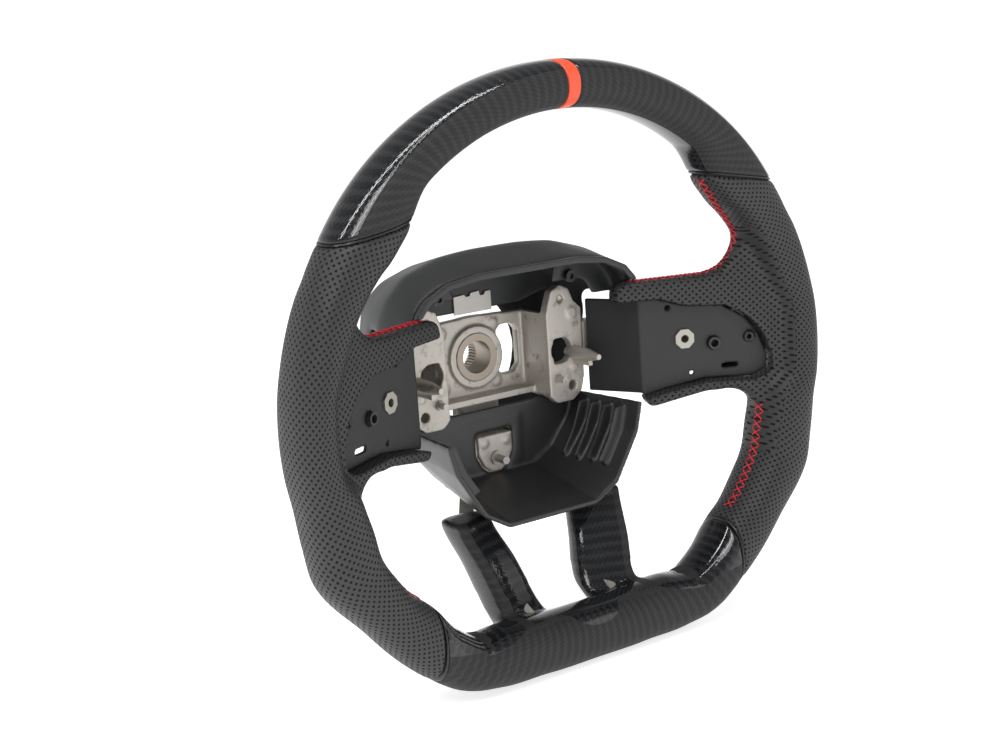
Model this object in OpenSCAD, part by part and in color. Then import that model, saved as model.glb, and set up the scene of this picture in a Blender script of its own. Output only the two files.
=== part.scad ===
// Flat-bottomed steering wheel: die-cast armature, foamed rim, leather grips,
// carbon rim sections, hub cover with an open airbag pocket, switch carriers.
// +X is the driver's right, +Z is up, +Y points forward to the steering column.
// The origin is on the column bore's axis, at the front face of the hub boss.

/* [Rim] */
// Half of the overall width, at the side grips
rim_out_r = 187; // [183:1:190]
// Inner radius of the rim across the top
rim_in_r = 156; // [152:1:158]
// Half depth of the rim section, front to back
rim_half_depth = 21; // [18:0.5:23]
// Distance of the rim's middle plane in front of the hub boss
dish = 98; // [94:1:102]
// Lowest level of the flat bottom, below the column axis
flat_drop = 172; // [168:1:174]
// Thickness of the leather and carbon skins
skin_t = 1.6; // [1.2:0.1:2]
// Radius of the steel rim core
core_r = 6; // [5:0.5:7]

/* [Hub] */
// Bore of the splined column sleeve
bore_d = 21; // [18:0.5:22]
// Outer diameter of the column sleeve
sleeve_d = 30; // [28:0.5:31]
// Outer diameter of the cast boss
boss_d = 40; // [38:1:42]
// Length of the column sleeve
sleeve_len = 26; // [22:1:30]
// Thickness of the cast hub plate
plate_t = 6; // [5:0.5:8]

/* [Airbag pocket] */
// Distance of each airbag stud from the centre
stud_x = 45; // [44:0.5:46]
// Diameter of the airbag studs
stud_d = 4; // [3:0.5:5]
// How far the airbag studs stand out of the ears
stud_out = 7; // [5:0.5:10]
// Wall thickness of the plastic covers
cover_t = 2.5; // [2:0.1:3]

/* [Switch carriers] */
// Distance of each threaded insert from the centre
insert_x = 109; // [108:0.5:110]
// Bore of the threaded inserts
insert_bore = 5; // [4:0.5:6]

/* [Hidden] */
$fn = 48;

rim_y = -dish;
ring_n = 16;
seam_w = 0.25;
joint_top = 50.5;
joint_bottom = 139.5;
stripe_half = 1.35;

// ---- Rim outlines: radius by angle from the top, in degrees ----
function out_radius(a) = lookup(abs(a), [
    [0, rim_out_r - 3], [60, rim_out_r - 2], [90, rim_out_r], [102, rim_out_r + 1], [110, 192],
    [116, 196], [129, 190], [142, 191], [148, 191], [158, 184], [168, flat_drop + 3.5],
    [180, flat_drop]]);
function in_radius(a) = lookup(abs(a), [
    [0, rim_in_r], [36, rim_in_r], [43, 150], [47, 147], [52, 147], [58, 150], [66, 154],
    [78, 158], [84, 162], [97, 162], [103, 154], [110, 154], [118, 158], [128, 158], [135, 155],
    [142, 158], [149, 159], [156, 149], [165, 142], [180, 138]]);
function half_depth(a) = lookup(abs(a), [
    [0, rim_half_depth], [50, rim_half_depth], [85, rim_half_depth + 1.5],
    [120, rim_half_depth + 1], [150, rim_half_depth - 1], [180, rim_half_depth - 2]]);
// The joints between leather and carbon are cut level at the top and upright at the bottom
function lean(a) = lookup(abs(a), [[30, 0], [50.5, 7], [72, 0], [118, 0], [139.5, 4.5], [160, 0]])
    * sign(a);
// Where the rim core sits between the inner and the outer outline
function core_at(a) = lookup(abs(a), [[0, 0.5], [70, 0.5], [84, 0.4], [97, 0.4], [108, 0.5]]);

function wrapped(a) = a > 180 ? a - 360 : a;
function polar(r, a) = [r * sin(a), 0, r * cos(a)];
function outer_point(s) = let (a = wrapped(s)) polar(out_radius(a + lean(a)), a + lean(a));
function inner_point(s) = let (a = wrapped(s)) polar(in_radius(a - lean(a)), a - lean(a));
function soft(v) = sign(v) * pow(abs(v), 0.86);

// One ring of the rim section at station s, inset by t from the finished surface
function section(s, t) =
    let (po = outer_point(s), pi = inner_point(s), c = (po + pi) / 2,
         half = norm(po - pi) / 2, e = (po - pi) / (2 * half), d = half_depth(wrapped(s)))
    [for (j = [0:ring_n - 1]) let (p = 360 * j / ring_n)
        c + e * (half - t) * soft(cos(p)) + [0, rim_y + (d - t) * soft(sin(p)), 0]];
// One ring of the core, in the same plane
function core_ring(s, r) =
    let (po = outer_point(s), pi = inner_point(s), e = (po - pi) / norm(po - pi),
         c = pi + (po - pi) * core_at(wrapped(s)))
    [for (j = [0:ring_n - 1]) let (p = 360 * j / ring_n)
        c + e * r * cos(p) + [0, rim_y + r * sin(p), 0]];

function stations(a, b, n) = [for (i = [0:n]) a + (b - a) * i / n];
// Stations of the four rim sections, shared by every layer so that the layers nest
top_stations = stations(-joint_top, joint_top, 20);
side_stations = stations(joint_top, joint_bottom, 17);
bottom_stations = stations(joint_bottom, 360 - joint_bottom, 16);
left_stations = stations(360 - joint_bottom, 360 - joint_top, 17);
function without_last(l) = [for (i = [0:len(l) - 2]) l[i]];
function flat_list(l) = [for (r = l) for (p = r) p];

// A solid through a row of rings of equal size
module loft(rings, closed = false) {
    k = len(rings);
    n = len(rings[0]);
    last = closed ? k - 1 : k - 2;
    sides = [for (i = [0:last]) for (j = [0:n - 1])
        let (a = i * n + j, b = i * n + (j + 1) % n,
             c = ((i + 1) % k) * n + (j + 1) % n, d = ((i + 1) % k) * n + j)
        each [[a, b, c], [a, c, d]]];
    caps = closed ? [] : [[for (j = [n - 1:-1:0]) j], [for (j = [0:n - 1]) (k - 1) * n + j]];
    polyhedron(points = flat_list(rings), faces = concat(sides, caps), convexity = 8);
}
// A tube between two rows of rings, open along its middle
module tube(outer, inner) {
    k = len(outer);
    n = len(outer[0]);
    m = k * n;
    skin = [for (i = [0:k - 2]) for (j = [0:n - 1])
        let (a = i * n + j, b = i * n + (j + 1) % n, c = b + n, d = a + n)
        each [[a, b, c], [a, c, d], [m + a, m + c, m + b], [m + a, m + d, m + c]]];
    ends = [for (j = [0:n - 1])
        let (q = (j + 1) % n, z = (k - 1) * n)
        each [[j, m + j, m + q], [j, m + q, q],
              [z + j, z + q, m + z + q], [z + j, m + z + q, m + z + j]]];
    polyhedron(points = concat(flat_list(outer), flat_list(inner)), faces = concat(skin, ends),
        convexity = 8);
}
// Stations with both ends drawn in by the half width of a seam
function trimmed(st) = [for (i = [0:len(st) - 1])
    i == 0 ? st[i] + seam_w : i == len(st) - 1 ? st[i] - seam_w : st[i]];
module rim_skin(st) {
    tube([for (s = st) section(s, 0)], [for (s = st) section(s, skin_t)]);
}
module rim_foam(st) {
    tube([for (s = st) section(s, skin_t + 0.1)], [for (s = st) core_ring(s, core_r + 0.1)]);
}

module both_sides() {
    children();
    mirror([1, 0, 0]) children();
}
module on_side(left) { mirror([left ? 1 : 0, 0, 0]) children(); }
// A plate of an outline drawn in X and Z, between two Y levels
module slab(y0, y1) {
    translate([0, y1, 0]) rotate([90, 0, 0]) linear_extrude(y1 - y0) children();
}
// A rod along +Y from a point
module rod(p, d, len) { translate(p) rotate([-90, 0, 0]) cylinder(d = d, h = len); }
// A straight bar of rectangular section between two points
module bar(p, q, w, h) {
    v = q - p;
    yaw = atan2(v[1], v[0]);
    pitch = acos(v[2] / norm(v));
    translate(p) rotate([0, pitch, yaw]) translate([-h / 2, -w / 2, 0]) cube([h, w, norm(v)]);
}

// ---- Spoke plane: leans forward towards the rim ----
spoke_lean = 24;
spoke_y = 25 - dish;
carrier_t = 3;
module on_spoke() {
    translate([insert_x, spoke_y, 0]) rotate([0, 0, -spoke_lean]) children();
}
carrier_outline = [[-28, -32], [-13, -28.5], [12, -24.5], [44, -26], [53, -22], [54, -13],
    [49, 1], [40, 13], [25, 22], [0, 24], [-18, 30], [-28, 30]];

// ---- Armature ----
ear_y = 74 - dish;
ear_t = 7;
stud_shank_d = stud_d + 1;
plate_y = 3;
plate_bottom = -28;
plate_top = 25;
pin_x = 59;
boss_len = sleeve_len + 2;
window = [26, 1, 16, 32];
pad_y = 84 - dish;

module ear_outline() {
    polygon([[38, -30], [44, -35], [56, -35], [63, -30], [66, -20], [66, 24], [60, 30],
        [57, 38], [50, 41], [43, 38], [40, 30], [38, 24]]);
}
module ear() {
    difference() {
        slab(ear_y, ear_y + ear_t) ear_outline();
        slab(ear_y - 1, ear_y + ear_t + 1) union() {
            translate([43, -9]) square([6, 16]);
            translate([49, -1]) circle(d = 16);
        }
        rod([56, ear_y - 1, -25], 6, ear_t + 2);
        rod([50, ear_y - 1, 32], 5, 3.5);
        rod([stud_x, ear_y - 1, -19], stud_shank_d, ear_t + 2);
        rod([pin_x, ear_y - 1, -4], 7, ear_t + 2);
    }
    // raised ejector marks
    rod([58, ear_y - 0.8, 22], 7, 0.8);
    rod([58, ear_y - 0.8, -13], 5, 0.8);
}
module ear_walls() {
    translate([38, ear_y + ear_t, -30]) cube([4, plate_y + plate_t - ear_y - ear_t, 54]);
    translate([42, ear_y + ear_t, -30]) cube([24, plate_y + plate_t - ear_y - ear_t - 8, 4]);
}
module armature_hub() {
    color([0.62, 0.58, 0.53]) {
        difference() {
            union() {
                slab(plate_y, plate_y + plate_t)
                    polygon([[-38, plate_bottom + 2], [-20, plate_bottom], [20, plate_bottom - 2],
                        [38, plate_bottom - 2], [38, plate_top - 1], [0, plate_top + 1],
                        [-38, plate_top - 1]]);
                rod([0, 0, 0], boss_d, boss_len);
                both_sides() ear_walls();
            }
            rod([0, -1, 0], sleeve_d, boss_len + 2);
            slab(plate_y - 1, plate_y + plate_t + 1)
                translate([window[0] - window[2] / 2, window[1] - window[3] / 2])
                    polygon([[0, 3], [3, 0], [12, 0], [16, 5], [16, 27], [12, 32], [3, 32], [0, 29]]);
        }
        both_sides() ear();
        // ledge along the plate's lower edge
        translate([-38.5, -8, plate_bottom]) cube([77, plate_y + 9, 4]);
        // ejector marks round the boss
        for (p = [[-24, 18], [15, 19], [-24, -17], [15, -18]])
            rod([p[0], plate_y - 1, p[1]], 7, 1);
        // lower lug, with its shield-shaped pad
        difference() {
            union() {
                translate([-16, plate_y, -88]) cube([32, plate_t, 60.5]);
                slab(pad_y, plate_y + 1) polygon([[-13, -48], [13, -48], [13, -60], [9, -68], [4, -72],
                    [-4, -72], [-9, -68], [-13, -60]]);
            }
            rod([0, pad_y - 1, -63], 5, 12);
        }
        for (x = [-8.5, 8.5]) rod([x, pad_y - 0.8, -52.5], 5, 0.8);
    }
}
arm_in = 66.1;
module armature_arms() {
    color([0.6, 0.57, 0.52]) {
        // side arms, out to the rim core
        both_sides() translate([0, 0, -13]) linear_extrude(28)
            polygon([[arm_in, -24], [arm_in + 6, -25], [150, -81], [165.8, -93], [165.8, -84],
                [150, -72], [arm_in + 6, -13], [arm_in, -11]]);
        // lower arms: out under the bowl, then down inside the lower spokes
        both_sides() difference() {
            union() {
                bar([10, 6, -82], [46, -44, -95], 9, 9);
                bar([46, -44, -95], [34, -73, -137], 9, 9);
                bar([34, -73, -137], [33, -94, -149], 9, 9);
                translate([46, -44, -95]) sphere(d = 10.5);
                translate([34, -73, -137]) sphere(d = 10.5);
            }
            translate([-20, -20, -95]) cube([36.1, 40, 30]);
            translate([20, -120, -170]) cube([40, 60, 21.2]);
        }
    }
}
module rim_core() {
    color([0.45, 0.46, 0.48])
        loft([for (s = concat(without_last(top_stations), without_last(side_stations),
            without_last(bottom_stations), without_last(left_stations))) core_ring(s, core_r)],
            closed = true);
}
module column_sleeve() {
    color([0.66, 0.6, 0.54]) difference() {
        rod([0, 0, 0], sleeve_d, sleeve_len);
        rod([0, -1, 0], bore_d, sleeve_len + 2);
        // serrations in the rear half, for the column shaft
        for (i = [0:35]) rotate([0, 10 * i, 0])
            translate([bore_d / 2, sleeve_len - 9, 0]) rotate([-90, 0, 0])
                cylinder(d = 1.4, h = 10, $fn = 4);
    }
}
module airbag_studs() {
    color([0.75, 0.75, 0.76]) both_sides() {
        rod([stud_x, ear_y - stud_out, -19], stud_d, stud_out);
        rod([stud_x, ear_y, -19], stud_shank_d, ear_t);
    }
}
module shield_stud() {
    color([0.7, 0.7, 0.71]) {
        rod([0, pad_y - 11, -63], 5, 11 + 9);
        rod([0, pad_y - 2, -63], 9, 2);
    }
}
module locating_pins() {
    color([0.7, 0.68, 0.65]) both_sides() {
        rod([pin_x, ear_y - 1, -4], 7, 1 + ear_t);
        translate([pin_x, ear_y - 14, -4]) rotate([-90, 0, 0]) cylinder(d1 = 8, d2 = 9.5, h = 13.9);
        translate([pin_x, ear_y - 25, -4]) rotate([-90, 0, 0]) cylinder(d1 = 3.5, d2 = 8, h = 11);
        translate([pin_x - 1.5, ear_y - 16, -10.5]) cube([3, 15.9, 6]);
    }
}

// ---- Rim fillings and skins ----
arm_hole_x = 150;
module arm_hole() { translate([arm_hole_x, -96, -13.2]) cube([18, 28, 28.4]); }
module lower_arm_hole() {
    both_sides() translate([27, -104, -150]) cube([13, 40, 16]);
}
module rim_foam_top() {
    color([0.2, 0.2, 0.2]) rim_foam(top_stations);
}
module side_foam() {
    difference() {
        rim_foam(side_stations);
        arm_hole();
    }
}
module rim_foam_right() { color([0.2, 0.2, 0.2]) side_foam(); }
module rim_foam_left() { color([0.2, 0.2, 0.2]) on_side(true) side_foam(); }
module rim_foam_bottom() {
    color([0.2, 0.2, 0.2]) difference() {
        rim_foam(bottom_stations);
        lower_arm_hole();
    }
}
arc_stations = [for (i = [10:20])
    i == 10 ? stripe_half : i == 20 ? joint_top - seam_w : top_stations[i]];
module carbon_top_right() {
    color([0.12, 0.12, 0.12]) rim_skin(arc_stations);
}
module carbon_top_left() {
    color([0.12, 0.12, 0.12]) on_side(true) rim_skin(arc_stations);
}
module centre_stripe() {
    color([0.85, 0.22, 0.12]) rim_skin([-stripe_half, 0, stripe_half]);
}
module side_leather() {
    difference() {
        rim_skin(trimmed(side_stations));
        arm_hole();
    }
}
module leather_right() { color([0.17, 0.17, 0.18]) side_leather(); }
module leather_left() { color([0.17, 0.17, 0.18]) on_side(true) side_leather(); }
module joint_seams() {
    color([0.03, 0.03, 0.03]) both_sides() {
        rim_skin([joint_top - seam_w, joint_top + seam_w]);
        rim_skin([joint_bottom - seam_w, joint_bottom + seam_w]);
    }
}

// ---- Spoke leather: a top roll and a lower strip on the spoke's plane ----
roll_plan = [[-42, -14], [44, -9], [44, 10], [-19, 10], [-24, -5.4], [-42, -5.4]];
roll_outline = [[-42, 29], [-38, 31], [-18, 31], [0, 24.6], [25, 22.6], [38, 15], [43, 20],
    [44, 32], [38, 42], [-38, 42], [-42, 38]];
strip_outline = [[-24, -32.4], [-13, -29.1], [12, -25.1], [40, -26.5], [40, -31], [12, -31],
    [-24, -38]];
module spoke_leather() {
    on_spoke() {
        // top roll, standing proud of the carrier
        intersection() {
            linear_extrude(60) polygon(roll_plan);
            slab(-20, 20) polygon(roll_outline);
        }
        slab(-2, 14) polygon(strip_outline);
    }
}
module spoke_leather_right() { color([0.17, 0.17, 0.18]) spoke_leather(); }
module spoke_leather_left() { color([0.17, 0.17, 0.18]) on_side(true) spoke_leather(); }

// ---- Red cross stitching, as a bead along the inner edge ----
stitch_t = 0.8;
stitch_from = 9;
module rim_bead(st) {
    loft([for (s = st)
        let (u = section(s, -0.14), v = section(s, -stitch_t))
        [v[stitch_from], v[stitch_from + 1], u[stitch_from + 1], u[stitch_from]]]);
}
function part_of(l, a, b) = [for (i = [a:b]) l[i]];
module side_stitching() {
    rim_bead(part_of(trimmed(side_stations), 0, 5));
    rim_bead(part_of(trimmed(side_stations), 11, 17));
    on_spoke() slab(-8, -4) translate([-36, 42]) square([72, stitch_t]);
}
module stitching_right() { color([0.8, 0.1, 0.12]) side_stitching(); }
module stitching_left() { color([0.8, 0.1, 0.12]) on_side(true) side_stitching(); }

// ---- Carbon bottom: rim skin and the two lower spokes in one moulding ----
// A lower spoke's cross section, as [x, y, width, depth], at its top, at its foot and in the rim
leg_top = [30, -62, 32, 28];
leg_foot = [16, -88, 36, 30];
leg_root = [14, -112, 42, 32];
leg_top_z = -87;
leg_foot_z = -137;
leg_root_z = -152;
module leg_slice(l, z, inset) {
    translate([l[0] + inset, l[1] + inset, z]) cube([l[2] - 2 * inset, l[3] - 2 * inset, 2]);
}
module leg_shell(inset) {
    hull() {
        leg_slice(leg_top, leg_top_z - 2 + inset, inset);
        leg_slice(leg_foot, leg_foot_z, inset);
    }
    hull() {
        leg_slice(leg_foot, leg_foot_z, inset);
        leg_slice(leg_root, leg_root_z, inset);
    }
}
module carbon_bottom() {
    color([0.12, 0.12, 0.12]) difference() {
        union() {
            loft([for (s = trimmed(bottom_stations)) section(s, 0)]);
            both_sides() leg_shell(0);
        }
        loft([for (s = concat([joint_bottom - 1], bottom_stations, [361 - joint_bottom]))
            section(s, skin_t)]);
        both_sides() leg_shell(3);
        // way in for the armature's lower arm
        both_sides() translate([30, -55, -115]) cube([24, 25, 29]);
    }
}

// ---- Rear cover, lip, bowl ----
lip_y = 38 - dish;
cover_mid_y = -30;
cover_back_y = 20;
spoke_gap_top = 31;
lip_outline = [[-83, 28], [-83, 38], [-80, 46], [-73, 54], [-58, 61], [-35, 64], [35, 64],
    [58, 61], [73, 54], [80, 46], [83, 38], [83, 28]];
mid_outline = [[-86, -20], [-88, 20], [-87, 37], [-80, 51], [-66, 64], [-40, 72], [-15, 74],
    [15, 74], [40, 72], [66, 64], [80, 51], [87, 37], [88, 20], [86, -20]];
back_outline = [[-74, 20], [-70, 42], [-56, 54], [-34, 61], [34, 61], [56, 54], [70, 42],
    [74, 20], [72, -30], [52, -60], [-52, -60], [-72, -30]];
module shrunk(t) { offset(delta = -t) children(); }
module cover_solid(t) {
    hull() {
        slab(lip_y - (t > 0 ? 1 : 0), lip_y + 1) shrunk(t) polygon(lip_outline);
        slab(cover_mid_y, cover_mid_y + 2) shrunk(t) polygon(mid_outline);
        slab(cover_back_y - 8, cover_back_y - t) shrunk(t) polygon(back_outline);
    }
}
module rear_cover() {
    color([0.2, 0.2, 0.21]) {
        difference() {
            cover_solid(0);
            cover_solid(cover_t);
            // front opening of the airbag pocket, and the gaps for the spokes and the bowl
            translate([-100, lip_y - 1, -80]) cube([200, 52, 80 + spoke_gap_top]);
            slab(lip_y - 2, lip_y + 4) shrunk(cover_t) polygon(lip_outline);
            translate([-60, lip_y - 1, -80]) cube([120, 70, 50]);
            rod([0, cover_back_y - 10, 0], 76, 20);
        }
        // bulkhead above the armature's plate
        intersection() {
            cover_solid(0.5);
            slab(5, 7.5) polygon([[-90, 40], [-40, 27], [40, 27], [90, 40], [90, 80], [-90, 80]]);
        }
        // brackets behind the lip, over the armature's ears
        both_sides() difference() {
            slab(-36, -33) polygon([[34, 43], [60, 43], [66, 31.5], [85, 31.5], [84, 44],
                [66, 60.5], [44, 67], [36, 56]]);
            rod([49, -37, 48], 4, 6);
        }
    }
}
module cover_lip() {
    color([0.08, 0.08, 0.08]) difference() {
        slab(lip_y - 4, lip_y - 0.1) polygon(lip_outline);
        slab(lip_y - 5, lip_y + 1) shrunk(4) polygon(lip_outline);
        translate([-90, lip_y - 10, 20]) cube([180, 20, 23.5]);
    }
}
flange_y = 24 - dish;
bowl_back_y = -9.5;
bowl_top = -31;
bowl_wall = 3;
flange_outline = [[-72, 0], [-72, -34], [-68, -50], [-50, -79], [-33, -89], [-26, -85], [26, -85],
    [33, -89], [50, -79], [68, -50], [72, -34], [72, 0]];
back_outline_b = [[-66, 0], [-66, -34], [-62, -46], [-46, -66], [-30, -76], [30, -76], [46, -66],
    [62, -46], [66, -34], [66, 0]];
pad_outline = [[-13.4, -46], [13.4, -46], [13.4, -60.2], [9.3, -68.4], [4.2, -72.5],
    [-4.2, -72.5], [-9.3, -68.4], [-13.4, -60.2]];
module bowl_shape(grow) {
    hull() {
        slab(flange_y - (grow < 0 ? 1 : 0), flange_y + 2) offset(delta = grow)
            polygon(flange_outline);
        slab(bowl_back_y - 2 + grow, bowl_back_y + grow) offset(delta = grow)
            polygon(back_outline_b);
    }
}
module airbag_bowl() {
    color([0.06, 0.06, 0.06]) {
        difference() {
            union() {
                difference() {
                    bowl_shape(0);
                    bowl_shape(-bowl_wall);
                }
                // raised box round the armature's shield-shaped pad
                slab(pad_y + 1, bowl_back_y - 1) polygon([[-21, -38], [21, -38], [21, -66],
                    [12, -76], [-12, -76], [-21, -66]]);
            }
            translate([-90, flange_y - 5, bowl_top]) cube([180, 80, 40]);
            slab(pad_y - 1, bowl_back_y + 1) polygon(pad_outline);
        }
        // ribs on the side walls
        both_sides() for (i = [0:3])
            translate([0, flange_y + 12 + 11 * i, 0]) slab(0, 1.6)
                polygon([[68 - i, -34], [60 - i, -34], [53 - i, -52], [44 - i, -66], [51 - i, -70],
                    [61 - i, -52]]);
    }
}

// ---- Rear shells of the side spokes ----
module spoke_back() {
    difference() {
        translate([0, 0, -24]) linear_extrude(50)
            polygon([[90, -30], [150, -74], [157, -76], [157, -69], [90, -21.5]]);
        translate([0, 0, -21.5]) linear_extrude(45)
            polygon([[80, -50], [160, -110], [160, -73.6], [80, -17]]);
    }
}
module spoke_back_left() { color([0.2, 0.2, 0.21]) on_side(true) spoke_back(); }
module spoke_back_right() { color([0.2, 0.2, 0.21]) spoke_back(); }

// ---- Switch carriers ----
module carrier() {
    difference() {
        union() {
            on_spoke() slab(0, carrier_t) polygon(carrier_outline);
            // side wall back to the armature's ear
            translate([0, 0, -30]) linear_extrude(60)
                polygon([[82.8, -61], [85.6, -60], [69, -26], [66.5, -27]]);
            on_spoke() rod([0, carrier_t - 0.1, 2.5], 14, 8);
            on_spoke() rod([42, -3, 0], 7, 4);
        }
        on_spoke() rod([0, -1, 2.5], 9, 14);
        on_spoke() rod([-10, -1, 23], 3.6, 6);
        on_spoke() rod([19, -5, -2], 8, 10);
        on_spoke() rod([4, -1, -20], 3, 6);
        on_spoke() rod([42, -6, 0], 3, 10);
        on_spoke() slab(-1, 5) translate([24, -19]) square([11, 3]);
    }
}
module switch_carrier_right() { color([0.15, 0.15, 0.155]) carrier(); }
module switch_carrier_left() { color([0.15, 0.15, 0.155]) on_side(true) carrier(); }
module carrier_inserts() {
    color([0.8, 0.78, 0.72]) both_sides() on_spoke() difference() {
        union() {
            rod([0, -0.5, 2.5], 8.8, 10.6);
            translate([0, -1.4, 2.5]) rotate([-90, 22.5, 0]) cylinder(d = 13, h = 1.35, $fn = 8);
        }
        rod([0, -3, 2.5], insert_bore, 16);
    }
}
module carrier_caps() {
    color([0.05, 0.05, 0.05]) both_sides() on_spoke() difference() {
        rod([19, -3, -2], 7.8, 8);
        rod([19, -4, -2], 5, 8);
    }
}
module cover_screws() {
    color([0.1, 0.1, 0.1]) both_sides() difference() {
        union() {
            rod([49, -38.6, 48], 7.5, 2.5);
            rod([49, -36.2, 48], 3.9, 10);
        }
        rod([49, -39, 48], 3.4, 1.8);
    }
}
module ground_tab() {
    color([0.62, 0.6, 0.56]) slab(3.6, 4.9)
        polygon([[-12, 28], [16, 28], [16, 40], [12, 40], [11, 38], [8, 38], [7, 41], [1, 40.5],
            [0, 38.5], [-3, 38.5], [-4, 40], [-12, 39.5]]);
}

armature_hub();
armature_arms();
rim_core();
column_sleeve();
airbag_studs();
shield_stud();
locating_pins();
rim_foam_top();
rim_foam_left();
rim_foam_right();
rim_foam_bottom();
carbon_top_left();
carbon_top_right();
centre_stripe();
leather_left();
leather_right();
spoke_leather_left();
spoke_leather_right();
stitching_left();
stitching_right();
joint_seams();
carbon_bottom();
rear_cover();
cover_lip();
airbag_bowl();
spoke_back_left();
spoke_back_right();
switch_carrier_left();
switch_carrier_right();
carrier_inserts();
carrier_caps();
cover_screws();
ground_tab();
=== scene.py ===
"""Looks of the flat-bottomed steering wheel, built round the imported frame.

Lengths in the tables are millimetres; MM turns them into the frame's metres.
+X is the driver's right, +Z is up, +Y points forward, away from the driver.
"""

import bisect
import math

import bmesh
import bpy
from mathutils import Matrix, Vector
from mathutils.bvhtree import BVHTree


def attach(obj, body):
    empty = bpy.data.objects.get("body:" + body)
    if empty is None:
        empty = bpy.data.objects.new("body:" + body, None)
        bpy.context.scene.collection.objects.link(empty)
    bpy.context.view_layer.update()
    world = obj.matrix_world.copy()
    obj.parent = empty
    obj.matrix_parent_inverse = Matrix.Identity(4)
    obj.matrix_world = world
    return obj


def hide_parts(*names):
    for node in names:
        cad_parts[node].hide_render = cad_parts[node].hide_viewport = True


MM = 0.001
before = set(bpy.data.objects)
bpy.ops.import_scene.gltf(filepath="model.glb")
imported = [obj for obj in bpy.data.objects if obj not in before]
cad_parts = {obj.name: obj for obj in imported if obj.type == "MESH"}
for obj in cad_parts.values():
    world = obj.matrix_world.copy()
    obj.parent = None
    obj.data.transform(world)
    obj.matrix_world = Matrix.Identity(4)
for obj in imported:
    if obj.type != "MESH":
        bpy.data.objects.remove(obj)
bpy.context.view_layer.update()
RIM_Y = -98
FLOOR_Z = -172.3

# ---------------------------------------------------------------- rim outlines
OUT_RADIUS = [(0, 184), (60, 185), (90, 186.9), (102, 187.9), (110, 191.8), (116, 195.6),
              (129, 190), (142, 191), (148, 191), (158, 184), (168, 175.4), (180, 171.9)]
IN_RADIUS = [(0, 156), (36, 156), (43, 150.5), (47, 147), (52, 147), (58, 150), (66, 154),
             (78, 158), (84, 162), (97, 162), (103, 154), (110, 154), (118, 158), (128, 158),
             (135, 155), (142, 158), (149, 159), (156, 149), (165, 142), (180, 138)]
HALF_DEPTH = [(0, 21), (50, 21), (85, 22.4), (120, 22), (150, 20), (180, 19)]
LEAN = [(0, 0), (30, 0), (50.5, 7), (72, 0), (118, 0), (139.5, 4.5), (160, 0), (180, 0)]
JOINT_TOP = 50.5
JOINT_BOTTOM = 139.5
STRIPE_HALF = 1.35


def smooth_lookup(table, x):
    """A smooth curve through the table's points that never swings past them."""
    x = min(max(x, table[0][0]), table[-1][0])
    i = min(max(bisect.bisect_right([p[0] for p in table], x) - 1, 0), len(table) - 2)

    def slope(k):
        if k <= 0 or k >= len(table) - 1:
            return 0.0
        before = (table[k][1] - table[k - 1][1]) / (table[k][0] - table[k - 1][0])
        after = (table[k + 1][1] - table[k][1]) / (table[k + 1][0] - table[k][0])
        return 0.0 if before * after <= 0 else 2 * before * after / (before + after)

    (x0, y0), (x1, y1) = table[i], table[i + 1]
    w = x1 - x0
    t = (x - x0) / w
    return (y0 * (2 * t ** 3 - 3 * t ** 2 + 1) + slope(i) * w * (t ** 3 - 2 * t ** 2 + t)
            + y1 * (3 * t ** 2 - 2 * t ** 3) + slope(i + 1) * w * (t ** 3 - t ** 2))


def wrapped(a):
    return (a + 180) % 360 - 180


def polar(r, a):
    return Vector((r * math.sin(math.radians(a)), 0, r * math.cos(math.radians(a))))


def lean(a):
    return math.copysign(smooth_lookup(LEAN, abs(a)), a)


def soft(v):
    return math.copysign(abs(v) ** 0.86, v)


def rim_frame(s):
    """Middle of the rim's section at station s, the way outwards, and its half width and depth."""
    a = wrapped(s)
    outer = polar(smooth_lookup(OUT_RADIUS, abs(a + lean(a))), a + lean(a))
    inner = polar(smooth_lookup(IN_RADIUS, abs(a - lean(a))), a - lean(a))
    half = (outer - inner).length / 2
    depth = smooth_lookup(HALF_DEPTH, abs(a))
    return (outer + inner) / 2, (outer - inner) / (2 * half), half, depth


def rim_point(s, p, lift=0.0, k=1.0):
    """A point of the rim's surface: p is 0 outwards, 90 at the back, 180 inwards, 270 in front."""
    c, e, half, depth = rim_frame(s)
    cp, sp = soft(math.cos(math.radians(p))), soft(math.sin(math.radians(p)))
    q = c + e * ((half + lift) * k * cp)
    return Vector((q.x, RIM_Y + (depth + lift) * k * sp, q.z)) * MM


# ---------------------------------------------------------------- modelling helpers
def only(obj):
    """Leaves just this object selected, in object mode."""
    if bpy.context.object and bpy.context.object.mode != "OBJECT":
        bpy.ops.object.mode_set(mode="OBJECT")
    bpy.ops.object.select_all(action="DESELECT")
    obj.select_set(True)
    bpy.context.view_layer.objects.active = obj


def tidy_mesh(obj, merge=1e-6, outward=True):
    """Merges doubles and turns every face outwards."""
    only(obj)
    bpy.ops.object.mode_set(mode="EDIT")
    bpy.ops.mesh.select_all(action="SELECT")
    bpy.ops.mesh.remove_doubles(threshold=merge)
    if outward:
        bpy.ops.mesh.normals_make_consistent(inside=False)
    bpy.ops.object.mode_set(mode="OBJECT")
    return obj


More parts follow.
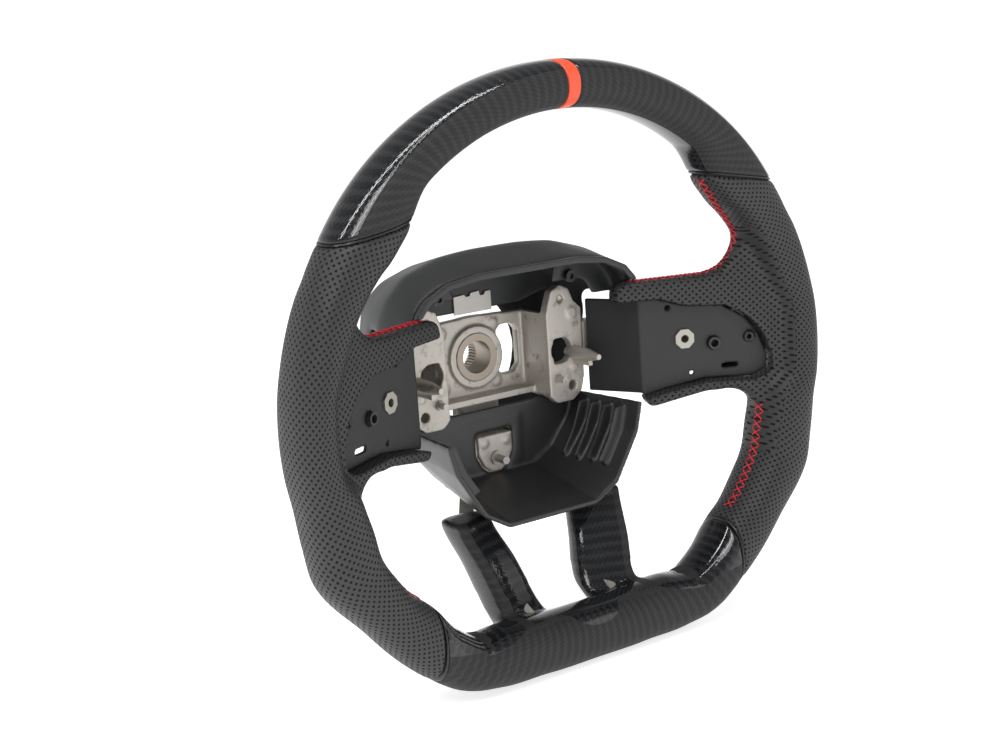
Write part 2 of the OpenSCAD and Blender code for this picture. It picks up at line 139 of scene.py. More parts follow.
def rolled(name, rows, cols, place, uv=None, outward=True):
    """A grid rolled into shape: place(row, col) gives each point, uv(row, col) its pattern."""
    bpy.ops.object.select_all(action="DESELECT")
    n, m = len(rows) - 1, len(cols) - 1
    bpy.ops.mesh.primitive_grid_add(x_subdivisions=n, y_subdivisions=m, size=2)
    obj = bpy.context.object
    obj.name = name
    me = obj.data
    spots = [(rows[round((v.co.x + 1) / 2 * n)], cols[round((v.co.y + 1) / 2 * m)])
             for v in me.vertices]
    if uv:
        layer = me.uv_layers.active
        for loop in me.loops:
            layer.data[loop.index].uv = uv(*spots[loop.vertex_index])
    for v, spot in zip(me.vertices, spots):
        v.co = place(*spot)
    tidy_mesh(obj, outward=outward)
    return obj


def apply_all(obj):
    only(obj)
    for m in list(obj.modifiers):
        bpy.ops.object.modifier_apply(modifier=m.name)
    return obj


def modifier(obj, kind, **settings):
    m = obj.modifiers.new(kind.title(), kind)
    for key, value in settings.items():
        setattr(m, key, value)
    return apply_all(obj)


def smoothed(obj, angle=40):
    only(obj)
    bpy.ops.object.shade_smooth_by_angle(angle=math.radians(angle))
    return obj


def ease(obj, rounds, where=None, factor=0.5):
    """Relaxes the surface; where(vertex position) limits it to a part of the piece."""
    bm = bmesh.new()
    bm.from_mesh(obj.data)
    verts = [v for v in bm.verts if where is None or where(v.co)]
    for _ in range(rounds):
        bmesh.ops.smooth_vert(bm, verts=verts, factor=factor, use_axis_x=True, use_axis_y=True,
                              use_axis_z=True)
    bm.to_mesh(obj.data)
    bm.free()
    return obj


def joined(name, objs):
    only(objs[0])
    for o in objs[1:]:
        o.select_set(True)
    if len(objs) > 1:
        bpy.ops.object.join()
    objs[0].name = name
    return objs[0]


def cut(obj, cutter):
    modifier(obj, "BOOLEAN", operation="DIFFERENCE", object=cutter, solver="EXACT")
    bpy.data.objects.remove(cutter)
    return obj


def prism(name, outline, y0, y1, bevel=0.0, segments=3):
    """A plate of an outline drawn in X and Z, from level y0 to y1, with rounded edges."""
    bpy.ops.object.select_all(action="DESELECT")
    bpy.ops.mesh.primitive_circle_add(vertices=len(outline), radius=1, fill_type="NGON")
    obj = bpy.context.object
    obj.name = name
    for v, (x, z) in zip(obj.data.vertices, outline):
        v.co = Vector((x, y0, z)) * MM
    bpy.ops.object.mode_set(mode="EDIT")
    bpy.ops.mesh.select_all(action="SELECT")
    bpy.ops.mesh.extrude_region_move(
        TRANSFORM_OT_translate={"value": (0, (y1 - y0) * MM, 0)})
    bpy.ops.object.mode_set(mode="OBJECT")
    tidy_mesh(obj)
    if bevel:
        modifier(obj, "BEVEL", width=bevel * MM, segments=segments, limit_method="ANGLE",
                 angle_limit=math.radians(30))
    return obj


def mirrored(obj, name):
    """The same piece for the other side of the wheel."""
    other = obj.copy()
    other.data = obj.data.copy()
    bpy.context.scene.collection.objects.link(other)
    other.name = name
    other.data.transform(Matrix.Diagonal((-1, 1, 1, 1)))
    other.data.flip_normals()
    return other


SPOKE_LEAN = math.radians(24)
SPOKE = Matrix.Translation(Vector((109, -73, 0)) * MM) @ Matrix.Rotation(-SPOKE_LEAN, 4, "Z")


def on_spoke(obj):
    """Moves a piece drawn at the origin onto the right-hand spoke's plane."""
    obj.data.transform(SPOKE)
    return obj


def copied(node, name):
    """A merged copy of a CAD node, to be shaped further."""
    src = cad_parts[node]
    obj = bpy.data.objects.new(name, src.data.copy())
    bpy.context.scene.collection.objects.link(obj)
    obj.data.materials.clear()
    return tidy_mesh(obj, 2e-6)


def remeshed(obj, voxel, rounds, where=None):
    modifier(obj, "REMESH", mode="VOXEL", voxel_size=voxel * MM, use_smooth_shade=True)
    return ease(obj, rounds, where)


def settle(obj, material, slot, *nodes):
    """Gives a finished piece its material and its body, and hides the CAD nodes it stands for."""
    obj.data.materials.clear()
    obj.data.materials.append(material)
    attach(obj, "root")
    if nodes:
        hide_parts(*nodes)
    return obj


# ---------------------------------------------------------------- materials
class Wires:
    """Short names for the nodes of one material."""

    def __init__(self, name, base, roughness, metallic=0.0):
        self.mat = bpy.data.materials.new(name)
        self.mat.use_nodes = True
        self.tree = self.mat.node_tree
        self.shader = self.tree.nodes["Principled BSDF"]
        self.shader.inputs["Base Color"].default_value = (*base, 1)
        self.shader.inputs["Roughness"].default_value = roughness
        self.shader.inputs["Metallic"].default_value = metallic

    def node(self, kind, **settings):
        n = self.tree.nodes.new("ShaderNode" + kind)
        for key, value in settings.items():
            setattr(n, key, value)
        return n

    def put(self, socket, value):
        if isinstance(value, bpy.types.NodeSocket):
            self.tree.links.new(value, socket)
        else:
            socket.default_value = value

    def math(self, op, *values, clamp=False):
        n = self.node("Math", operation=op, use_clamp=clamp)
        for socket, value in zip(n.inputs, values):
            self.put(socket, value)
        return n.outputs[0]

    def place(self):
        return self.node("TexCoord").outputs["Object"]

    def uv(self):
        n = self.node("SeparateXYZ")
        self.put(n.inputs[0], self.node("UVMap").outputs[0])
        return n.outputs[0], n.outputs[1]

    def join(self, x, y, z=0.0):
        n = self.node("CombineXYZ")
        for socket, value in zip(n.inputs, (x, y, z)):
            self.put(socket, value)
        return n.outputs[0]

    def noise(self, scale, vector=None, detail=4.0, rough=0.55):
        n = self.node("TexNoise")
        self.put(n.inputs["Vector"], vector or self.place())
        n.inputs["Scale"].default_value = scale
        n.inputs["Detail"].default_value = detail
        n.inputs["Roughness"].default_value = rough
        return n.outputs["Fac"]

    def cells(self, scale, vector=None, feature="F1"):
        n = self.node("TexVoronoi", feature=feature)
        self.put(n.inputs["Vector"], vector or self.place())
        n.inputs["Scale"].default_value = scale
        return n.outputs["Distance"]

    def blend(self, factor, a, b):
        n = self.node("Mix", data_type="RGBA")
        self.put(n.inputs[0], factor)
        self.put(n.inputs[6], a if isinstance(a, bpy.types.NodeSocket) else (*a, 1))
        self.put(n.inputs[7], b if isinstance(b, bpy.types.NodeSocket) else (*b, 1))
        return n.outputs[2]

    def span(self, value, low, high, to_low=0.0, to_high=1.0):
        n = self.node("MapRange")
        for socket, v in zip(n.inputs, (value, low, high, to_low, to_high)):
            self.put(socket, v)
        return n.outputs[0]

    def bump(self, height, depth, strength=1.0, under=None):
        n = self.node("Bump")
        n.inputs["Strength"].default_value = strength
        n.inputs["Distance"].default_value = depth * MM
        self.put(n.inputs["Height"], height)
        if under is not None:
            self.put(n.inputs["Normal"], under)
        return n.outputs[0]

    def finish(self, colour=None, roughness=None, normal=None):
        for key, value in (("Base Color", colour), ("Roughness", roughness), ("Normal", normal)):
            if value is not None:
                self.put(self.shader.inputs[key], value)
        return self.mat


def twill(w, u, v, tow):
    """Twill weave of flat tows lying at 45 degrees: (is the warp on top, height of the tows)."""
    x = w.math("DIVIDE", w.math("ADD", u, v), tow * MM * math.sqrt(2))
    y = w.math("DIVIDE", w.math("SUBTRACT", u, v), tow * MM * math.sqrt(2))
    fx, fy = w.math("FRACT", x), w.math("FRACT", y)
    step = w.math("FLOORED_MODULO",
                  w.math("ADD", w.math("FLOOR", x), w.math("FLOOR", y)), 4.0)
    on_top = w.math("LESS_THAN", step, 1.5)

    def arch(t):
        t = w.math("SUBTRACT", w.math("MULTIPLY", t, 2.0), 1.0)
        return w.math("SUBTRACT", 1.0, w.math("MULTIPLY", t, t))

    def float_of(k, f):
        return arch(w.math("MULTIPLY", w.math("ADD", k, f), 0.5))

    warp = w.math("ADD", arch(fx), float_of(step, fy))
    weft = w.math("ADD", arch(fy), float_of(w.math("SUBTRACT", step, 2.0), fx))
    height = w.math("ADD", w.math("MULTIPLY", warp, on_top),
                    w.math("MULTIPLY", weft, w.math("SUBTRACT", 1.0, on_top)))
    return on_top, w.math("MULTIPLY", height, 0.5)


def make_carbon():
    """Twill carbon, matt on the front band and lacquered where the gloss mark is above nought, with
    the weave's sheen and shade painted into its colour.
    """
    w = Wires("carbon_twill", (0.04, 0.04, 0.042), 0.3)
    u, v = w.uv()
    on_top, height = twill(w, u, v, 2.0)
    mark = w.node("Attribute", attribute_name="gloss").outputs["Fac"]
    gloss = w.math("GREATER_THAN", mark, 0.0)
    streak = w.noise(1.0, w.join(w.math("MULTIPLY", w.math("ADD", u, v), 4000.0),
                                 w.math("MULTIPLY", w.math("SUBTRACT", u, v), 4000.0)), 2.0)
    # Painted sheen and shade of the weave: warp tows lighter than weft tows, and each tow lighter
    # along its crown; the streaks are random tone.
    tone = w.math("ADD", w.math("MULTIPLY", on_top, 0.55), w.math("MULTIPLY", height, 0.45))
    streaks = w.math("MULTIPLY", w.math("SUBTRACT", streak, 0.5), 0.35)
    tone = w.math("ADD", tone, streaks, clamp=True)
    matt = w.blend(tone, (0.019, 0.019, 0.020), (0.036, 0.036, 0.037))
    lacquered = w.blend(tone, (0.002, 0.002, 0.003), (0.022, 0.023, 0.025))
    w.shader.inputs["IOR"].default_value = 1.52
    w.put(w.shader.inputs["Specular IOR Level"], w.span(gloss, 0.0, 1.0, 0.18, 0.5))
    return w.finish(w.blend(gloss, matt, lacquered),
                    w.span(gloss, 0.0, 1.0, 0.60, 0.05),
                    w.bump(height, 0.12, 0.35))


def leather_holes(w, u, v, pitch, radius):
    """Distance to the nearest hole of a staggered pattern, as nought in a hole and one outside."""
    def grid(shift):
        def off_centre(t):
            cell = w.math("ADD", w.math("DIVIDE", t, pitch * MM), shift)
            return w.math("SUBTRACT", w.math("FRACT", cell), 0.5)

        a, b = off_centre(u), off_centre(v)
        return w.math("SQRT", w.math("ADD", w.math("MULTIPLY", a, a), w.math("MULTIPLY", b, b)))
    near = w.math("MINIMUM", grid(0.0), grid(0.5))
    return w.span(near, radius / pitch * 0.78, radius / pitch * 1.12)


def make_leather(name="perforated_leather", holes=True):
    w = Wires(name, (0.05, 0.05, 0.053), 0.5)
    u, v = w.uv()
    grain = w.cells(1500.0)
    fine = w.noise(2600.0)
    shade = w.noise(45.0)
    base = w.blend(shade, (0.025, 0.025, 0.026), (0.037, 0.037, 0.039))
    w.shader.inputs["Specular IOR Level"].default_value = 0.4
    height = w.math("ADD", grain, w.math("MULTIPLY", fine, 0.35))
    normal = w.bump(height, 0.10, 0.45)
    rough = w.span(shade, 0.3, 0.7, 0.44, 0.56)
    if holes:
        open_ = leather_holes(w, u, v, 4.2, 0.74)
        base = w.blend(open_, (0.0015, 0.0015, 0.0015), base)
        normal = w.bump(open_, 0.7, 1.0, normal)
        rough = w.math("ADD", rough, w.math("MULTIPLY", w.math("SUBTRACT", 1.0, open_), 0.4))
    return w.finish(base, rough, normal)


def make_thread():
    w = Wires("red_thread", (0.62, 0.015, 0.03), 0.6)
    twist = w.noise(2500.0)
    return w.finish(w.blend(twist, (0.40, 0.006, 0.014), (0.80, 0.03, 0.05)), None,
                    w.bump(twist, 0.1, 0.4))


def make_stripe():
    w = Wires("orange_red_band", (0.80, 0.09, 0.03), 0.42)
    grain = w.cells(1700.0)
    shade = w.noise(60.0)
    return w.finish(w.blend(shade, (0.74, 0.065, 0.022), (0.86, 0.10, 0.035)), None,
                    w.bump(grain, 0.06, 0.3))


def make_plastic(name, dark, light, rough, grain=0.05, scale=2200.0):
    """Moulded plastic with a fine spark-eroded grain and slight rubbed patches."""
    w = Wires(name, light, rough)
    patches = w.noise(28.0, None, 6.0)
    fine = w.noise(scale, None, 2.0)
    return w.finish(w.blend(patches, dark, light),
                    w.span(patches, 0.3, 0.7, rough - 0.05, rough + 0.08),
                    w.bump(fine, grain, 0.5))


def make_cast(name="die_cast_alloy"):
    """Warm grey die casting: flow marks, small stains, a faintly pebbled skin."""
    w = Wires(name, (0.36, 0.33, 0.29), 0.46, 0.55)
    flow = w.noise(26.0, None, 8.0, 0.65)
    stain = w.noise(110.0, None, 5.0, 0.7)
    skin = w.noise(1500.0, None, 3.0)
    base = w.blend(flow, (0.36, 0.335, 0.30), (0.64, 0.60, 0.545))
    base = w.blend(w.span(stain, 0.56, 0.74), base, (0.15, 0.135, 0.118))
    return w.finish(base, w.span(flow, 0.3, 0.7, 0.36, 0.52),
                    w.bump(skin, 0.10, 0.5, w.bump(stain, 0.3, 0.4)))


def make_steel(name, tone, rough):
    w = Wires(name, tone, rough, 1.0)
    turned = w.noise(700.0, None, 3.0)
    return w.finish(w.blend(turned, tuple(0.75 * c for c in tone), tone),
                    w.span(turned, 0.3, 0.7, rough - 0.06, rough + 0.1),
                    w.bump(turned, 0.04, 0.4))


CARBON = make_carbon()
LEATHER = make_leather()
THREAD = make_thread()
STRIPE = make_stripe()
SEAM = make_plastic("joint_filler", (0.004, 0.004, 0.004), (0.010, 0.010, 0.010), 0.35)
COVER = make_plastic("cover_plastic", (0.016, 0.017, 0.018), (0.025, 0.026, 0.027), 0.46, 0.06)
BLACK = make_plastic("black_plastic", (0.018, 0.018, 0.019), (0.030, 0.030, 0.031), 0.36, 0.03)
CARRIER = make_plastic("carrier_plastic", (0.014, 0.014, 0.015), (0.022, 0.022, 0.023), 0.50, 0.05)
CAST = make_cast()
SLEEVE = make_steel("machined_sleeve", (0.36, 0.31, 0.26), 0.34)
DULL = make_steel("dull_steel", (0.50, 0.48, 0.45), 0.42)
INSERT = make_steel("insert_alloy", (0.50, 0.48, 0.43), 0.45)
FOAM = make_plastic("rim_foam", (0.010, 0.010, 0.010), (0.018, 0.018, 0.018), 0.8, 0.3, 900.0)
SCREW = make_steel("black_screw", (0.06, 0.06, 0.06), 0.35)

for node, material in {
        "column_sleeve": SLEEVE, "airbag_studs": CAST, "shield_stud": DULL,
        "locating_pins": CAST, "rim_core": DULL, "rim_foam_top": FOAM, "rim_foam_left": FOAM,
        "rim_foam_right": FOAM, "rim_foam_bottom": FOAM, "armature_arms": CAST,
        "carrier_inserts": INSERT, "carrier_caps": BLACK, "cover_screws": SCREW,
        "ground_tab": DULL}.items():
    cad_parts[node].data.materials.clear()
    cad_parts[node].data.materials.append(material)

# ---------------------------------------------------------------- rim pieces
ROUND = [90 + 5 * i for i in range(73)]
ARC_R, GIRTH_R = 0.172, 0.0188


def rim_uv(row, p):
    return math.radians(row[0]) * ARC_R, math.radians(p) * GIRTH_R


def closed_rows(s0, s1, step, edge=0.14, dip=0.03):
    """Stations between two ends, with rounded edges and a closed pole at each end."""
    n = max(2, round((s1 - s0 - 6 * edge) / step))
    ease_in = [(s0, 0.0), (s0, 0.6), (s0, 1 - 1.8 * dip), (s0 + edge, 1 - 0.9 * dip),
               (s0 + 2 * edge, 1 - 0.3 * dip)]
    ease_out = [(s1 - 2 * edge, 1 - 0.3 * dip), (s1 - edge, 1 - 0.9 * dip), (s1, 1 - 1.8 * dip),
                (s1, 0.6), (s1, 0.0)]
    a, b = s0 + 3 * edge, s1 - 3 * edge
    return ease_in + [(a + (b - a) * i / n, 1.0) for i in range(n + 1)] + ease_out


def rim_piece(name, rows, cols=ROUND, lift=lambda s, p: 0.0):
    return rolled(name, rows, cols,
                  lambda row, p: rim_point(row[0], p, lift(row[0], p), row[1]), rim_uv)


def set_mark(obj, mark):
    layer = obj.data.attributes.new("gloss", "FLOAT", "POINT")
    layer.data.foreach_set("value", [mark(v.co) for v in obj.data.vertices])
    return obj


MATT_FROM, MATT_TO = 200, 305


def band_distance(p):
    """How far, in mm round the section, a point lies outside the matt front band."""
    p %= 360
    return 0.33 * max(MATT_FROM - p, p - MATT_TO) if 90 < p else 0.33 * (p + 360 - MATT_TO)


top_cols = sorted(ROUND + [MATT_FROM - 1.5, MATT_FROM + 1.5, MATT_TO - 1.5, MATT_TO + 1.5])
for side, name in ((1, "top_carbon_right"), (-1, "top_carbon_left")):
    ends = sorted((side * STRIPE_HALF, side * (JOINT_TOP - 0.25)))
    piece = rim_piece(name, closed_rows(*ends, 0.7), top_cols,
                      lambda s, p: -0.15 if band_distance(p) < 0 else 0.0)
    mark = piece.data.attributes.new("gloss", "FLOAT", "POINT")
    layer = piece.data.uv_layers.active
    for loop in piece.data.loops:
        p = math.degrees(layer.data[loop.index].uv[1] / GIRTH_R)
        mark.data[loop.vertex_index].value = band_distance(p)
    smoothed(piece, 60)
    settle(piece, CARBON, "carbon", "carbon_top_" + name.split("_")[-1])

band = rim_piece("centre_band", closed_rows(-STRIPE_HALF, STRIPE_HALF, 0.3, 0.1, 0.01),
                 lift=lambda s, p: 0.0)
settle(smoothed(band, 60), STRIPE, "stripe", "centre_stripe")

seams = []
for side in (-1, 1):
    for joint in (JOINT_TOP, JOINT_BOTTOM):
        seams.append(rim_piece("seam", closed_rows(side * joint - 0.3, side * joint + 0.3, 0.1,
                                                   0.05, 0.02), lift=lambda s, p: -0.35))
settle(smoothed(joined("joint_filler", seams), 60), SEAM, "seam", "joint_seams")

# ---------------------------------------------------------------- leather grips
PAD_OUTLINE = [(-46, 30), (-46, 37), (-42, 42), (-10, 42.5), (14, 43), (24, 46), (31, 53),
               (35, 63), (38, 76), (58, 76), (60, 0), (58, -60), (47, -56), (45, -48), (40, -38),
               (32, -32.5), (12, -31.5), (-10, -35.5), (-26, -38.5), (-28, -34)]
POCKET = [(-52, -32), (-28, -32.3), (-13, -29), (12, -25), (44, -26.5), (54, -22.5), (55, -13),
          (50, 1.5), (41, 13.5), (25.5, 22.7), (0, 24.7), (-18, 30.5), (-52, 30.5)]


def leather_uv(obj):
    """Lays the hole pattern round the rim, and flat over the spoke."""
    me = obj.data
    layer = me.uv_layers.active or me.uv_layers.new(name="UVMap")
    for face in me.polygons:
        c = face.center / MM
        a = math.degrees(math.atan2(abs(c.x), c.z))
        inner = smooth_lookup(IN_RADIUS, a)
        outer = smooth_lookup(OUT_RADIUS, a)
        on_pad = math.hypot(c.x, c.z) < inner + 5 and abs(c.z) < 72 and c.y > -114
        mid, half = (inner + outer) / 2, (outer - inner) / 2

        def turn(q):
            return math.atan2((q.y - RIM_Y) / 22, (math.hypot(q.x, q.z) - mid) / half)

        middle = turn(c)
        for li in face.loop_indices:
            q = me.vertices[me.loops[li].vertex_index].co / MM
            if on_pad and abs(face.normal.z) > 0.75:
                layer.data[li].uv = (q.y * MM, q.x * MM)
            elif on_pad:
                layer.data[li].uv = (q.z * MM, q.x * MM)
            else:
                p = turn(q)
                p += 2 * math.pi * round((middle - p) / (2 * math.pi))
                layer.data[li].uv = (math.atan2(abs(q.x), q.z) * ARC_R, p * GIRTH_R)


def make_grip(name):
    tube = rim_piece("grip_tube", closed_rows(JOINT_TOP + 0.3, JOINT_BOTTOM - 0.3, 1.5))
    pad = on_spoke(prism("pad", PAD_OUTLINE, -9, 10, 5.5, 4))
    grip = joined(name, [tube, pad])
    remeshed(grip, 1.5, 4)
    ease(grip, 26, lambda c: c.x < 0.166 and abs(c.z) < 0.085 and c.x > 0.125)
    cut(grip, on_spoke(prism("pocket", POCKET, -45, 40)))
    remeshed(grip, 1.2, 3)
    leather_uv(grip)
    return smoothed(grip, 70)


grip_right = make_grip("leather_grip_right")
grip_left = mirrored(grip_right, "leather_grip_left")


# ---------------------------------------------------------------- cross stitching
def strand(bm, points, radius, sides=5):
    """A thread through a few points, closed at both ends."""
    rings = []
    for i, p in enumerate(points):
        along = (points[min(i + 1, len(points) - 1)] - points[max(i - 1, 0)]).normalized()
        side = along.orthogonal().normalized()
        up = along.cross(side)
        r = radius * (0.5 if i in (0, len(points) - 1) else 1.0)
        rings.append([bm.verts.new(p + (side * math.cos(t) + up * math.sin(t)) * r)
                      for t in (2 * math.pi * k / sides for k in range(sides))])
    for a, b in zip(rings, rings[1:]):
        for k in range(sides):
            bm.faces.new((a[k], a[(k + 1) % sides], b[(k + 1) % sides], b[k]))
    bm.faces.new(rings[0][::-1])
    bm.faces.new(rings[-1])


def gentle(guide, rounds=60):
    """The guide line in steps of about a millimetre, with its turns eased out."""
    line = [guide[0]]
    for a, b in zip(guide, guide[1:]):
        n = max(1, round((b - a).length / MM))
        line += [a.lerp(b, (i + 1) / n) for i in range(n)]
    for _ in range(rounds):
        eased = [(a + 2 * b + c) / 4 for a, b, c in zip(line, line[1:], line[2:])]
        line = [line[0], *eased, line[-1]]
    return line


def stitched(name, surface, runs, pitch=5.6, width=7.4, thread=0.42):
    """Rows of crossed threads along guide lines, laid on the surface."""
    tree = BVHTree.FromObject(surface, bpy.context.evaluated_depsgraph_get())
    bm = bmesh.new()
    for guide in runs:
        spots, walked, last = [], 0.0, None
        for g in gentle(guide):
            at = tree.find_nearest(g)[0]
            if last is not None:
                walked += (at - last).length
            spots.append((walked, at))
            last = at
        count = max(1, round(walked / (pitch * MM)))

        def along(d):
            d = min(max(d, 0), walked)
            for (d0, p0), (d1, p1) in zip(spots, spots[1:]):
                if d <= d1 and d1 > d0:
                    return p0.lerp(p1, (d - d0) / (d1 - d0))
            return spots[-1][1]

        def edge(i, f, sideways):
            """A point of the row, i pitches along, sideways in half widths."""
            d = walked * i / count
            mid = along(d)
            heading = (along(d + 0.005) - along(d - 0.005)).normalized()
            normal = tree.find_nearest(mid)[1]
            at = mid + normal.cross(heading).normalized() * (sideways * width / 2 * MM)
            spot, out, _, _ = tree.find_nearest(at)
            return spot + out * (f * MM)

        for i in range(count):
            for sign in (-1, 1):
                pts = [edge(i + 0.04 + 0.92 * t, h, sign * (2 * t - 1))
                       for t, h in ((0, -0.2), (0.12, 0.3), (0.5, 0.45 + 0.15 * sign),
                                    (0.88, 0.3), (1, -0.2))]
                strand(bm, pts, thread * MM)
    me = bpy.data.meshes.new(name)
    bm.to_mesh(me)
    bm.free()
    obj = bpy.data.objects.new(name, me)
    bpy.context.scene.collection.objects.link(obj)
    return smoothed(tidy_mesh(obj, 1e-7), 60)


STITCH_AT = 181


def stitch_guides():
    upper = [rim_point(52 + 0.8 * i, STITCH_AT - 1.6 * max(0, i - 6), 1.5) for i in range(20)]
    corner = [SPOKE @ (Vector(p) * MM)
              for p in ((33, 1, 58), (29, 1, 52), (25, 0, 48.5), (21, 0, 46.5))]
    spoke = [SPOKE @ (Vector((16 - 3 * i, 0, 44)) * MM) for i in range(18)]
    lower = [rim_point(106 + 0.8 * i, STITCH_AT, 1.5) for i in range(39)]
    return [upper + corner + spoke, lower]


stitch_right = stitched("cross_stitch_right", grip_right, stitch_guides())
stitch_left = mirrored(stitch_right, "cross_stitch_left")
settle(grip_right, LEATHER, "leather", "leather_right", "spoke_leather_right")
settle(grip_left, LEATHER, "leather", "leather_left", "spoke_leather_left")
settle(stitch_right, THREAD, "thread", "stitching_right")
settle(stitch_left, THREAD, "thread", "stitching_left")

# ---------------------------------------------------------------- carbon bottom
# A lower spoke's section: x0, y0, width, depth at each level z
LEG = [(-84, 30, -62, 32, 28), (-112, 22.5, -76, 34, 29), (-137, 16, -88, 36, 30),
       (-152, 14, -112, 42, 32)]
LEG_SECTION = [(0.95, 0.0), (0.80, 0.0), (0.62, 0.16), (0.40, 0.26), (0.14, 0.33), (0.0, 0.46),
               (0.02, 0.75), (0.12, 1.0), (0.5, 1.0), (0.9, 1.0), (1.0, 0.75), (1.0, 0.35)]


def leg_at(z, k):
    return smooth_lookup(sorted((row[0], row[k]) for row in LEG), z)


def leg_point(z, i):
    u, w = LEG_SECTION[i % len(LEG_SECTION)]
    return Vector((leg_at(z, 1) + u * leg_at(z, 3), leg_at(z, 2) + w * leg_at(z, 4), z)) * MM


def make_leg(name):
    levels = [(-84.5, 0.0)] + [(-84.5 - 67.5 * i / 24, 1.0) for i in range(25)] + [(-152, 0.0)]

    def place(row, i):
        z, k = row
        centre = sum((leg_point(z, j) for j in range(12)), Vector()) / 12
        return centre.lerp(leg_point(z, i), k)

    leg = rolled(name, levels, list(range(13)), place)
    return modifier(leg, "SUBSURF", levels=2, render_levels=2)


MATT_EDGE = [(138, 222), (143, 233), (148, 238), (153, 236), (157, 226), (159.5, 205), (161, 186),
             (168, 182), (171.5, 190), (174, 222), (177, 237), (180, 240)]


def bottom_mark(q):
    """Above nought on the lacquered parts: the inside of the rim and the lower spokes' faces."""
    q = q / MM
    x, r = abs(q.x), math.hypot(q.x, q.z)
    a = math.degrees(math.atan2(x, q.z))
    inner, outer = smooth_lookup(IN_RADIUS, a), smooth_lookup(OUT_RADIUS, a)
    mid, half = (inner + outer) / 2, (outer - inner) / 2
    p = math.degrees(math.atan2((q.y - RIM_Y) / 20, (r - mid) / half)) % 360
    edge = smooth_lookup(MATT_EDGE, a)
    on_rim = 0.3 * (edge - p if p > 90 else p - 450 + edge)
    if p < 180:
        on_rim = 0.3 * (p - 120) if p > 60 else -10
    if q.z > -146:
        u = (x - leg_at(q.z, 1)) / leg_at(q.z, 3)
        w = (q.y - leg_at(q.z, 2)) / leg_at(q.z, 4)
        ridge = max(abs(u - 0.86) * 34 - 3.4, w * 29 - 6.5)
        return ridge if q.z > -134 else min(ridge, on_rim + max(0, (q.z + 140)) * 3)
    return on_rim


bottom = rim_piece("bottom_tube", closed_rows(JOINT_BOTTOM + 0.3, 360 - JOINT_BOTTOM - 0.3, 1.0))
leg = make_leg("leg_right")
bottom = joined("carbon_bottom_shell", [bottom, leg, mirrored(leg, "leg_left")])
remeshed(bottom, 1.1, 4)
ease(bottom, 30, lambda c: -0.146 < c.z < -0.126 and abs(c.x) < 0.07)


def bottom_uv(obj):
    me = obj.data
    layer = me.uv_layers.active or me.uv_layers.new(name="UVMap")
    for face in me.polygons:
        c = face.center / MM
        leg_face = c.z > -140 and abs(c.x) < 66 and math.hypot(c.x, c.z) < 150
        for li in face.loop_indices:
            q = me.vertices[me.loops[li].vertex_index].co / MM
            a = math.atan2(q.x, -q.z)
            if leg_face:
                layer.data[li].uv = (q.z * MM, (q.y - 0.9 * abs(q.x)) * MM * 0.8)
            else:
                r = math.hypot(q.x, q.z)
                p = math.atan2((q.y - RIM_Y) / 20, (r - 155) / 17)
                p = p if p < math.pi / 2 else p - 2 * math.pi
                if abs(math.atan2((c.y - RIM_Y) / 20, (math.hypot(c.x, c.z) - 155) / 17)
                       - math.pi / 2) < 0.12:
                    p = -1.5 * math.pi
                layer.data[li].uv = (a * 0.165, p * GIRTH_R)


bottom_uv(bottom)
set_mark(bottom, bottom_mark)
settle(smoothed(bottom, 60), CARBON, "carbon", "carbon_bottom")

# ---------------------------------------------------------------- cover, bowl, carriers, hub
for node, name, voxel, rounds, material, slot in (
        ("armature_hub", "hub_casting", 0.8, 4, CAST, "cast_alloy"),
        ("rear_cover", "rear_shroud", 1.3, 45, COVER, "cover_plastic"),
        ("airbag_bowl", "pocket_bowl", 1.2, 4, BLACK, "black_plastic"),
        ("cover_lip", "shroud_lip", 0.7, 4, BLACK, "black_plastic"),
        ("switch_carrier_right", "carrier_panel_right", 0.7, 2, CARRIER, "black_plastic"),
        ("switch_carrier_left", "carrier_panel_left", 0.7, 2, CARRIER, "black_plastic"),
        ("spoke_back_right", "spoke_shell_right", 1.0, 3, COVER, "cover_plastic"),
        ("spoke_back_left", "spoke_shell_left", 1.0, 3, COVER, "cover_plastic")):
    piece = remeshed(copied(node, name), voxel, rounds)
    settle(smoothed(piece, 50), material, slot, node)

# ---------------------------------------------------------------- floor, light, camera
bpy.ops.object.select_all(action="DESELECT")
bpy.ops.mesh.primitive_plane_add(size=12, location=(0, 0, FLOOR_Z * MM))
floor = bpy.context.object
floor.name = "floor"
w = Wires("pale_floor", (0.80, 0.80, 0.80), 0.7)
w.shader.inputs["Emission Color"].default_value = (1, 1, 1, 1)
w.shader.inputs["Emission Strength"].default_value = 0.72
floor.data.materials.append(w.finish(w.blend(w.noise(3.0), (0.79, 0.79, 0.79), (0.82, 0.82, 0.82))))

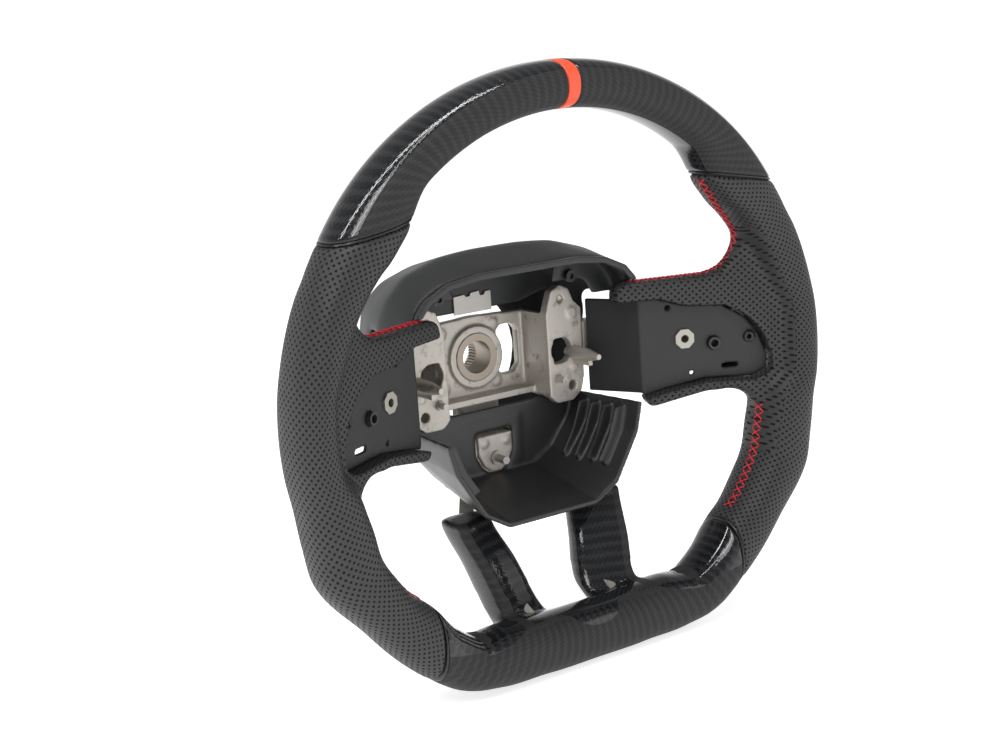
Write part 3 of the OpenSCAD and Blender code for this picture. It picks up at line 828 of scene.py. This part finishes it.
# White round the horizon and dim overhead, so that lacquer shows the lamps and not a white sky
world = bpy.data.worlds.new("studio")
bpy.context.scene.world = world
world.use_nodes = True
tree = world.node_tree
sky = tree.nodes["Background"]
sky.inputs[0].default_value = (1, 1, 1, 1)
height = tree.nodes.new("ShaderNodeSeparateXYZ")
tree.links.new(tree.nodes.new("ShaderNodeTexCoord").outputs["Generated"], height.inputs[0])
dimming = tree.nodes.new("ShaderNodeMapRange")
for socket, v in zip(list(dimming.inputs)[1:5], (0.12, 0.50, 1.05, 0.28)):
    socket.default_value = v
tree.links.new(height.outputs[2], dimming.inputs[0])
tree.links.new(dimming.outputs[0], sky.inputs[1])
bpy.context.scene.view_settings.view_transform = "Standard"


def soft_box(name, at, toward, width, height, power):
    lamp = bpy.data.lights.new(name, "AREA")
    lamp.shape = "RECTANGLE"
    lamp.size, lamp.size_y, lamp.energy = width, height, power
    obj = bpy.data.objects.new(name, lamp)
    obj.location = Vector(at)
    obj.rotation_euler = (Vector(at) - Vector(toward)).to_track_quat("Z", "Y").to_euler()
    bpy.context.scene.collection.objects.link(obj)


soft_box("key_box", (-1.1, -1.0, 1.5), (0, -0.05, 0), 0.9, 0.9, 13)
soft_box("overhead_strip", (-0.6, 0.05, 1.7), (0, -0.1, 0), 0.10, 2.4, 17)
soft_box("second_strip", (-0.6, -0.5, 1.7), (0, -0.1, 0), 0.05, 2.4, 7)
soft_box("fill_box", (1.2, -1.2, 0.9), (0, -0.05, 0), 1.0, 1.0, 4)

AIM = Vector((-49.8, -98, 11.2)) * MM
DISTANCE, AZIMUTH, ELEVATION, ROLL = 0.9576, -34.07, 12.29, -4.01
az, el, roll = (math.radians(v) for v in (AZIMUTH, ELEVATION, ROLL))
back = Vector((math.sin(az) * math.cos(el), -math.cos(az) * math.cos(el), math.sin(el)))
level = Vector((0, 0, 1)).cross(back).normalized()
upright = back.cross(level)
right = level * math.cos(roll) + upright * math.sin(roll)
up = -level * math.sin(roll) + upright * math.cos(roll)
lens = bpy.data.cameras.new("camera")
lens.lens, lens.sensor_width = 60.9, 36
lens.clip_start, lens.clip_end = 0.05, 30
camera = bpy.data.objects.new("camera", lens)
bpy.context.scene.collection.objects.link(camera)
turned = Matrix((right, up, back)).transposed().to_4x4()
camera.matrix_world = Matrix.Translation(AIM + back * DISTANCE) @ turned
bpy.context.scene.camera = camera
